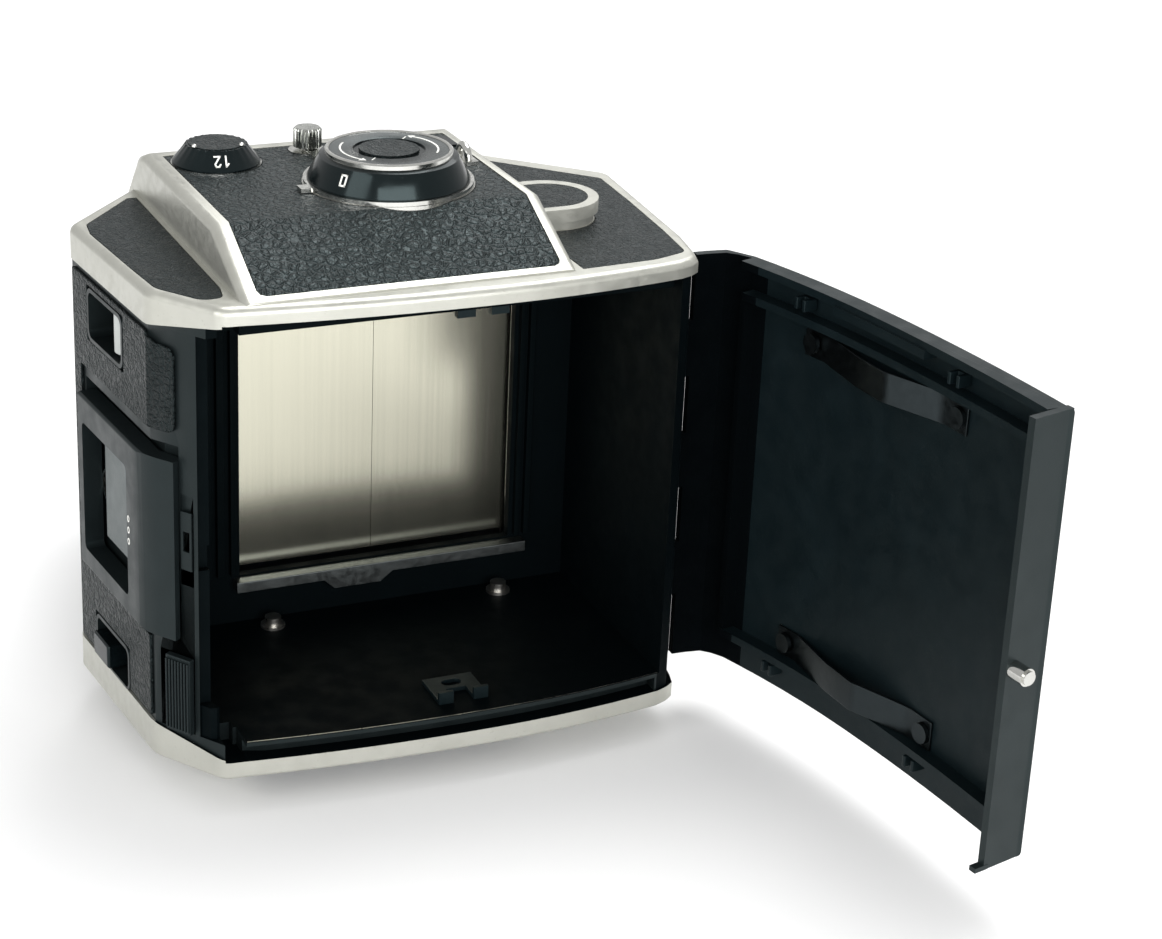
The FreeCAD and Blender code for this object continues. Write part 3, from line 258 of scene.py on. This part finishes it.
LOOKS = {
    "leather": leather_look("pebbled_leather", 600, 0.42, 0.8, 0.34),
    "base_leather": leather_look("base_pebbled_leather", 760, 0.4, 0.2, 0.2),
    "fine_leather": leather_look("wrinkled_leather", 900, 0.24, 0.25, 0.25),
    "cap": cap_look(),
    "shell": paint_look("satin_black_shell", (0.0048, 0.0066, 0.007), 0.36, shine=0.22),
    "chamber": paint_look("chamber_black", (0.0005, 0.0013, 0.0018), 0.62, 0.02, (0.005, 0.009, 0.010),
                          shine=0.05),
    "door": paint_look("satin_black_door", (0.0028, 0.0056, 0.0068), 0.42, 0.018, shine=0.18),
    # painted highlight: a lighter grey for the door's free edge, standing in for the light along it
    "door_edge": paint_look("satin_grey_door_edge_highlight", (0.0085, 0.0115, 0.012), 0.36, 0.018, shine=0.24),
    "latch": paint_look("satin_grey_latch", (0.0062, 0.0086, 0.0092), 0.34, 0.012, shine=0.2),
    "flat": paint_look("flat_black", (0.003, 0.0033, 0.0036), 0.6, 0.03),
    "pad": paint_look("grey_pad", (0.1, 0.11, 0.11), 0.5, 0.03),
    "gloss": paint_look("gloss_black", (0.002, 0.0035, 0.004), 0.14, 0.003, coat=0.05, shine=0.26),
    "disc": paint_look("dial_disc", (0.022, 0.024, 0.024), 0.3, 0.004, shine=0.4),
    "chrome": metal_look("worn_chrome", (0.60, 0.60, 0.57), 0.14),
    "knob_chrome": metal_look("knob_chrome", (0.4, 0.41, 0.385), 0.2),
    "satin_steel": metal_look("satin_steel", (0.5, 0.49, 0.46), 0.32),
    "drum": paint_look("drum_grey", (0.33, 0.34, 0.33), 0.4, 0.01, (0.2, 0.2, 0.2), shine=0.4),
    "dark_steel": metal_look("blackened_steel", (0.035, 0.043, 0.046), 0.34),
    "sill": metal_look("grey_sill", (0.15, 0.165, 0.165), 0.34),
    "velvet": paint_look("light_trap_velvet", (0.0004, 0.0008, 0.0012), 0.85, 0.04,
                         (0.003, 0.004, 0.005), shine=0.04),
    "blind": blind_look(),
    "mirror": metal_look("front_silvered", (0.9, 0.91, 0.92), 0.03, 0.0007),
    "lens": paint_look("anodised_black", (0.010, 0.010, 0.011), 0.3, 0.008, shine=0.35),
    "glass": glass_look(),
    "ink": paint_look("engraved_white", (0.75, 0.75, 0.71), 0.5, 0.01, (0.5, 0.5, 0.45)),
}
NODE_LOOKS = {
    "leather": "plateau_leather lower_plateau_leather",
    "fine_leather": ("left_shoulder_leather right_shoulder_leather boss_leather dial_leather "
                     "selector_leather"),
    "base_leather": "base_leather",
    "cap": "upper_side_cap lower_side_cap",
    "shell": "body_shell catch_slider",
    "chamber": "gate_frame latch_guide",
    "door": "back_door door_clips ceiling_clips insert_bracket",
    "latch": "latch_plate insert_release_key",
    "flat": "mirror_box finder_base mirror_carrier iris_ring hood_lid",
    "pad": "foot_pad",
    "gloss": "winding_dial selector_dial blank_plate base_slide",
    "chrome": ("dial_rim dial_seat pointer_ring selector_seat knob_seat strap_lug tripod_bush latch_pin "
               "lens_mount_ring release_collar mirror_axle blind_axles hood_hinge shutter_release"),
    "knob_chrome": "knurled_knob",
    "satin_steel": "hinge_pin locating_studs",
    "drum": "counter_drum",
    "dark_steel": "film_springs spring_rivets",
    "sill": "gate_sill_bar",
    "blind": "upper_blind lower_blind",
    "mirror": "reflex_mirror",
    "lens": "lens_barrel focus_ring aperture_ring",
    "glass": "front_glass rear_glass focusing_screen",
}
LOOK_OF = {node: look for look, names in NODE_LOOKS.items() for node in names.split()}


def dress(obj, look):
    """Take off what an object wears and give it one look."""
    obj.data.materials.clear()
    obj.data.materials.append(LOOKS[look])


for name, obj in nodes.items():
    dress(obj, LOOK_OF[name])


# ---------------------------------------------------------------- shape helpers
def piece(name, bm, look, body, smooth=True):
    """An object made of a finished bmesh, riding on a moving body of the frame."""
    mesh = bpy.data.meshes.new(name)
    bm.to_mesh(mesh)
    bm.free()
    obj = bpy.data.objects.new(name, mesh)
    bpy.context.collection.objects.link(obj)
    dress(obj, look)
    if smooth:
        mesh.shade_smooth()
    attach(obj, body)
    return obj


def soften(node, width):
    """The CAD shape again with its edges rounded by width millimetres."""
    bm = bmesh.new()
    bm.from_mesh(nodes[node].data)
    bmesh.ops.remove_doubles(bm, verts=bm.verts, dist=2e-6)
    bmesh.ops.dissolve_limit(bm, angle_limit=math.radians(0.6), verts=bm.verts, edges=bm.edges)
    obj = piece(node + "_softened", bm, LOOK_OF[node], BODY_OF[node])
    bevel = obj.modifiers.new("edges", "BEVEL")
    bevel.width = width * MM
    bevel.segments = 2
    bevel.limit_method = "ANGLE"
    bevel.angle_limit = math.radians(32)
    bevel.miter_outer = "MITER_ARC"
    shade = obj.modifiers.new("shade", "WEIGHTED_NORMAL")
    shade.keep_sharp = True
    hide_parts(node)


def lathe(name, profile, centre, look, body, steps=96, wave=None):
    """A closed outline of (radius, height) in millimetres turned about a vertical line."""
    bm = bmesh.new()
    rings = []
    for step in range(steps):
        angle = 2 * math.pi * step / steps
        ring = []
        for radius, height in profile:
            reach = radius if wave is None else wave(radius, height, step)
            ring.append(bm.verts.new(((centre[0] + reach * math.cos(angle)) * MM,
                                      (centre[1] + reach * math.sin(angle)) * MM, height * MM)))
        rings.append(ring)
    for step in range(steps):
        here, there = rings[step], rings[(step + 1) % steps]
        for index in range(len(profile)):
            nxt = (index + 1) % len(profile)
            bm.faces.new((here[index], there[index], there[nxt], here[nxt]))
    bmesh.ops.recalc_face_normals(bm, faces=bm.faces)
    obj = piece(name, bm, look, body)
    obj.data.set_sharp_from_angle(angle=math.radians(38))
    return obj


def flat_piece(name, faces, look, body):
    """Thin raised marks: each face is a list of points and the step that lifts its upper side."""
    bm = bmesh.new()
    for points, lift in faces:
        low = [bm.verts.new(Vector(point) * MM) for point in points]
        high = [bm.verts.new((Vector(point) + Vector(lift)) * MM) for point in points]
        count = len(points)
        bm.faces.new(low[::-1])
        bm.faces.new(high)
        for index in range(count):
            bm.faces.new((low[index], low[(index + 1) % count], high[(index + 1) % count], high[index]))
    bmesh.ops.recalc_face_normals(bm, faces=bm.faces)
    return piece(name, bm, look, body, smooth=False)


# each figure is one bent line through points given as shares of its width and height; a figure's width
# and the step to the next one are shares of its height and of its width
STROKES = {
    "0": [(0.15, 0.1), (0.15, 0.9), (0.85, 0.9), (0.85, 0.1), (0.15, 0.1)],
    "1": [(0.2, 0.75), (0.55, 1.0), (0.55, 0.0)],
    "2": [(0.1, 0.8), (0.3, 1.0), (0.75, 1.0), (0.9, 0.75), (0.1, 0.0), (0.95, 0.0)],
}
FIGURE_WIDTH = 0.6
FIGURE_STEP = 1.35


def written(text, origin, right, up, out, height, weight):
    """Faces for a line of figures drawn in strokes from an origin, with unit right, up and out directions."""
    faces = []
    wide = height * FIGURE_WIDTH
    for place, figure in enumerate(text):
        spots = [origin + right * (place * wide * FIGURE_STEP + share * wide) + up * (rise * height)
                 for share, rise in STROKES[figure]]
        for start, end in zip(spots, spots[1:]):
            run = (end - start).normalized()
            side = run.cross(out).normalized() * weight / 2
            a = start - run * weight / 2
            b = end + run * weight / 2
            faces.append(([a - side, b - side, b + side, a + side], out * INK_DEPTH))
    return faces


def cone_point(centre, foot, top, angle, rise):
    """A point on a skirt with (radius, height) at its foot and top, and its right, up and out directions."""
    radius = foot[0] + (top[0] - foot[0]) * rise
    height = foot[1] + (top[1] - foot[1]) * rise
    around = Vector((math.cos(angle), math.sin(angle), 0))
    up = (around * (top[0] - foot[0]) + Vector((0, 0, top[1] - foot[1]))).normalized()
    right = Vector((-math.sin(angle), math.cos(angle), 0))
    out = right.cross(up).normalized()
    return Vector((centre[0], centre[1], 0)) + around * radius + Vector((0, 0, height)), right, up, out


# ---------------------------------------------------------------- softened shells
EDGE_WIDTHS = {
    "upper_side_cap": 0.3, "lower_side_cap": 0.3, "body_shell": 0.2, "back_door": 0.4, "latch_plate": 0.3,
    "plateau_leather": 0.18, "left_shoulder_leather": 0.2, "right_shoulder_leather": 0.2,
    "base_leather": 0.18, "foot_pad": 0.25, "insert_release_key": 0.12, "gate_frame": 0.12,
    "gate_sill_bar": 0.15, "insert_bracket": 0.15, "latch_guide": 0.12, "finder_base": 0.2, "hood_lid": 0.3,
    "catch_slider": 0.1, "base_slide": 0.2, "film_springs": 0.08, "door_clips": 0.15, "lens_barrel": 0.15,
    "mirror_box": 0.3,
}
for node, width in EDGE_WIDTHS.items():
    soften(node, width)


def paint_where(node, look, wanted):
    """Give a second paint to the faces of a softened piece whose middle and normal pass a test."""
    obj = bpy.data.objects[node + "_softened"]
    obj.data.materials.append(LOOKS[look])
    for face in obj.data.polygons:
        if wanted(face.center / MM, face.normal):
            face.material_index = len(obj.data.materials) - 1


def in_chamber(spot):
    """Inside the film chamber, or in the groove the door's hinge side turns in."""
    held = -CHAMBER_SIDE < spot.x < CHAMBER_SIDE and CHAMBER_BACK < spot.y < GATE_Y
    return held and FLOOR_TOP - 0.2 < spot.z < CEILING or spot.x > CHAMBER_SIDE and spot.y < -20


def behind_band(spot, inward):
    """On the part of a side cap that faces into the camera, at its open back."""
    within = -41.5 < spot.x < 45.0 and spot.y > -38.0
    return spot.y < 0 and (inward > 0.7 or within)


def along_door(spot):
    """How far a point of the open door lies from the hinge, measured along the closed door."""
    return (spot.x - HINGE[0]) * math.cos(SWING) + (spot.y - HINGE[1]) * math.sin(SWING)


def two_tone():
    """Flat black inside, velvet at the door's hinge side, and a free edge painted greyer than the rest as a
    painted highlight.
    """
    paint_where("body_shell", "chamber", lambda spot, out: in_chamber(spot))
    paint_where("lower_side_cap", "chamber",
                lambda spot, out: spot.z > LOW_BAND and behind_band(spot, out.z))
    paint_where("upper_side_cap", "chamber",
                lambda spot, out: spot.z < HIGH_BAND and behind_band(spot, -out.z))
    # painted highlight: the door's free edge gets the lighter grey where it catches the light
    paint_where("back_door", "door_edge", lambda spot, out: along_door(spot) < FREE_EDGE)
    paint_where("back_door", "velvet", lambda spot, out: out.x < 0.3 and along_door(spot) > VELVET_EDGE)


def back_wall(x):
    """Where the bowed back of the camera is at a given x."""
    reach = x - CROWN_X
    return BACK_Y + reach * reach * (CURL_LEFT if reach < 0 else CURL_RIGHT)


def floor_lip():
    """A thin bright strip along the back edge of the chamber floor, a painted highlight for the light the
    edge catches.
    """
    first, last, steps = -37.2, 44.2, 26
    inset, wide, height = 0.75, 0.2, FLOOR_TOP - 0.02
    stations = [first + (last - first) * index / steps for index in range(steps + 1)]
    faces = []
    for a, b in zip(stations, stations[1:]):
        near = [(x, back_wall(x) + inset, height) for x in (a, b)]
        far = [(x, back_wall(x) + inset + wide, height) for x in (b, a)]
        faces.append((near + far, (0, 0, INK_DEPTH)))
    # painted highlight: a bright steel strip laid along the floor's edge where light glints off it
    flat_piece("floor_lip_highlight", faces, "satin_steel", "camera")


two_tone()
floor_lip()


# ---------------------------------------------------------------- dials
def polar(centre, radius, angle, height):
    """A point at a radius and an angle from the middle of a dial."""
    return (centre[0] + radius * math.cos(angle), centre[1] + radius * math.sin(angle), height)


def dial_arrows(height):
    """Two bent arrows and two index lines painted on the disc of the winding dial."""
    inner, outer, steps = 8.75, 9.1, 16
    faces = []
    for start, end in ((math.radians(140), math.radians(215)), (math.radians(-35), math.radians(40))):
        spots = [start + (end - start) * index / steps for index in range(steps + 1)]
        for a, b in zip(spots, spots[1:]):
            corners = [polar(DIAL, radius, angle, height)
                       for angle, radius in ((a, inner), (a, outer), (b, outer), (b, inner))]
            faces.append((corners, (0, 0, MARK)))
        corners = [polar(DIAL, radius, angle, height)
                   for angle, radius in ((end, 8.1), (end, 9.7), (end + 0.13, 8.95))]
        faces.append((corners, (0, 0, MARK)))
    for angle in (math.radians(228), math.radians(48)):
        across = Vector((-math.sin(angle), math.cos(angle), 0)) * 0.12
        near, far = (Vector(polar(DIAL, radius, angle, height)) for radius in (6.8, 8.3))
        faces.append(([near - across, far - across, far + across, near + across], (0, 0, 0.04)))
    flat_piece("dial_arrows", faces, "ink", "winding")


def winding_dial():
    """The dial with its skirt, grey disc and trough, and the chrome rim around the disc."""
    base = PLATEAU_TOP + 0.85
    foot = (14.9, base + 0.3)
    top = (12.75, base + 4.25)
    outline = [(14.9, base), foot, top, (12.2, base + 4.4), (11.75, base + 4.62), (10.88, base + 4.62),
               (10.85, base + 5.35), (6.7, base + 5.35), (6.6, base + 5.28), (6.6, base + 5.02),
               (5.62, base + 5.02), (5.62, base + 4.9), (2.5, base + 4.9), (2.5, base + 4.15), (2.5, base)]
    dial = lathe("winding_dial_turned", outline, DIAL, "gloss", "winding", 128)
    dial.data.materials.append(LOOKS["disc"])
    for face in dial.data.polygons:
        if face.center.z > (base + 5.2) * MM and face.normal.z > 0.9:
            face.material_index = 1
    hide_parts("winding_dial")
    rim = [(11.7, base + 4.65), (11.7, base + 5.35), (11.45, base + 5.6), (11.1, base + 5.6),
           (10.9, base + 5.4), (10.9, base + 4.65)]
    ring = lathe("dial_rim_turned", rim, DIAL, "chrome", BODY_OF["dial_rim"], 128)
    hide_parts("dial_rim")
    dial_arrows(base + 5.36)
    spot, right, up, out = cone_point(DIAL, foot, top, math.radians(214), 0.28)
    figure = written("0", spot - right * 0.8, right, up, out, 2.4, 0.34)
    flat_piece("dial_figure", figure, "ink", "winding")


def selector_dial():
    """The dial with a notched rim, figures around its skirt and two small chrome dots."""
    base = PLATEAU_TOP + 0.05
    foot = (8.2, base + 0.25)
    top = (5.95, base + 3.1)
    outline = [(8.2, base), foot, top, (5.75, base + 3.5), (5.3, base + 3.5), (5.2, base + 3.35),
               (5.2, base + 3.06), (1.7, base + 3.06), (1.7, base)]

    def notched(radius, height, step):
        if 5.25 < radius < 5.9 and height > base + 3.3:
            return radius - 0.28 * (step % 6 < 3)
        return radius

    dial = lathe("selector_dial_turned", outline, SELECTOR, "gloss", BODY_OF["selector_dial"], 144, notched)
    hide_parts("selector_dial")
    tall = 2.0
    faces = []
    for figures, angle in (("12", 262), ("0", 22), ("2", 142)):
        spot, right, up, out = cone_point(SELECTOR, foot, top, math.radians(angle), 0.84)
        wide = tall * FIGURE_WIDTH * (FIGURE_STEP * (len(figures) - 1) + 1)
        faces += written(figures, spot + right * wide / 2, -right, -up, out, tall, 0.3)
    flat_piece("selector_figures", faces, "ink", BODY_OF["selector_dial"])
    ball = [(0.02, base + 3.55), (0.34, base + 3.5), (0.5, base + 3.65), (0.4, base + 3.95),
            (0.02, base + 4.1)]
    for index, angle in enumerate((200, 322)):
        spot = polar(SELECTOR, 5.0, math.radians(angle), 0)
        lathe("selector_dot_%d" % index, ball, spot, "chrome", BODY_OF["selector_dial"], 20)


def knurled_knob():
    """The chrome knob with grooves down its side and a domed edge."""
    base = PLATEAU_TOP + 0.55

    def ribbed(radius, height, step):
        return radius - 0.22 * (step % 6 < 2) if radius > 2.5 and height < base + 3.6 else radius

    outline = [(2.45, base), (2.72, base + 0.15), (2.72, base + 3.35), (2.3, base + 3.8), (0.02, base + 3.8),
               (0.02, base + 2.75), (1.1, base + 2.75), (1.1, base)]
    knob = lathe("knurled_knob_turned", outline, KNOB, "knob_chrome", BODY_OF["knurled_knob"], 144, ribbed)
    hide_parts("knurled_knob")


def latch_marks():
    """Three small rings painted beside the latch plate's window."""
    near = Vector((*BASE_NEAR, 0))
    run = (Vector((*BASE_FAR, 0)) - near).normalized()
    out = Vector((-run.y, run.x, 0))
    inner, outer, sides = 0.42, 0.66, 10
    faces = []
    for height in (47.4, 49.6, 51.8):
        centre = near + run * 6.6 + out * 1.52 + Vector((0, 0, height))
        for index in range(sides):
            a, b = (2 * math.pi * step / sides for step in (index, index + 1))
            corners = [centre + (run * math.cos(angle) * 0.75 + Vector((0, 0, math.sin(angle)))) * radius
                       for angle, radius in ((a, inner), (a, outer), (b, outer), (b, inner))]
            faces.append((corners, out * MARK))
    flat_piece("latch_marks", faces, "ink", "latch")


winding_dial()
selector_dial()
knurled_knob()
latch_marks()


# ---------------------------------------------------------------- camera, lights, floor
def camera():
    """The viewpoint from which the camera is seen with its open back towards the viewer."""
    data = bpy.data.cameras.new("view")
    data.sensor_width = 36.0
    data.sensor_fit = "HORIZONTAL"
    data.lens = 80.55
    data.shift_x = 0.0577
    data.shift_y = -0.0583
    data.clip_start = 0.01
    obj = bpy.data.objects.new("view", data)
    right = Vector((0.92005, -0.39034, 0.03366))
    down = Vector((-0.11654, -0.35467, -0.9277))
    ahead = Vector((0.37406, 0.84961, -0.37181))
    basis = Matrix((right, -down, -ahead)).transposed()
    obj.matrix_world = Matrix.Translation(Vector((-160.22, -427.55, 245.07)) * MM) @ basis.to_4x4()
    bpy.context.collection.objects.link(obj)
    bpy.context.scene.camera = obj


def softbox(name, place, target, size, power):
    """A soft rectangular lamp at a place, turned towards a target, with everything in metres and watts."""
    data = bpy.data.lights.new(name, "AREA")
    data.shape = "RECTANGLE"
    data.size = size[0]
    data.size_y = size[1]
    data.energy = power
    obj = bpy.data.objects.new(name, data)
    obj.location = place
    obj.rotation_euler = (Vector(target) - Vector(place)).to_track_quat("-Z", "Y").to_euler()
    bpy.context.collection.objects.link(obj)


def studio():
    """White surroundings, four soft lamps and a pale floor."""
    world = bpy.data.worlds.new("studio")
    world.use_nodes = True
    back = world.node_tree.nodes["Background"]
    back.inputs["Color"].default_value = (1.0, 1.0, 1.0, 1.0)
    back.inputs["Strength"].default_value = 0.64
    bpy.context.scene.world = world
    softbox("top_light", (0.3, 0.22, 0.9), (0, 0, 0.06), (0.6, 0.6), 6.5)
    softbox("left_light", (-0.8, -0.35, 0.4), (0, 0, 0.05), (0.5, 0.6), 3.2)
    softbox("back_light", (0.5, 0.8, 0.7), (0, 0, 0.08), (0.6, 0.4), 1.2)
    softbox("front_light", (-0.15, -1.0, 0.32), (0, 0, 0.05), (1.0, 0.5), 9)
    bm = bmesh.new()
    half = 3.0
    for x, y in ((-half, -half), (half, -half), (half, half), (-half, half)):
        bm.verts.new((x, y, 0.0))
    bm.faces.new(bm.verts)
    mesh = bpy.data.meshes.new("floor")
    bm.to_mesh(mesh)
    bm.free()
    floor = bpy.data.objects.new("floor", mesh)
    bpy.context.collection.objects.link(floor)
    look = Look("pale_floor", (0.9, 0.9, 0.9), 0.7)
    look.tint(look.ramp(look.noise(40.0), 0.3, 0.7, 0.0, 0.3), (0.88, 0.88, 0.88))
    floor.data.materials.append(look.material)
    bpy.context.scene.view_settings.view_transform = "Standard"


camera()
studio()
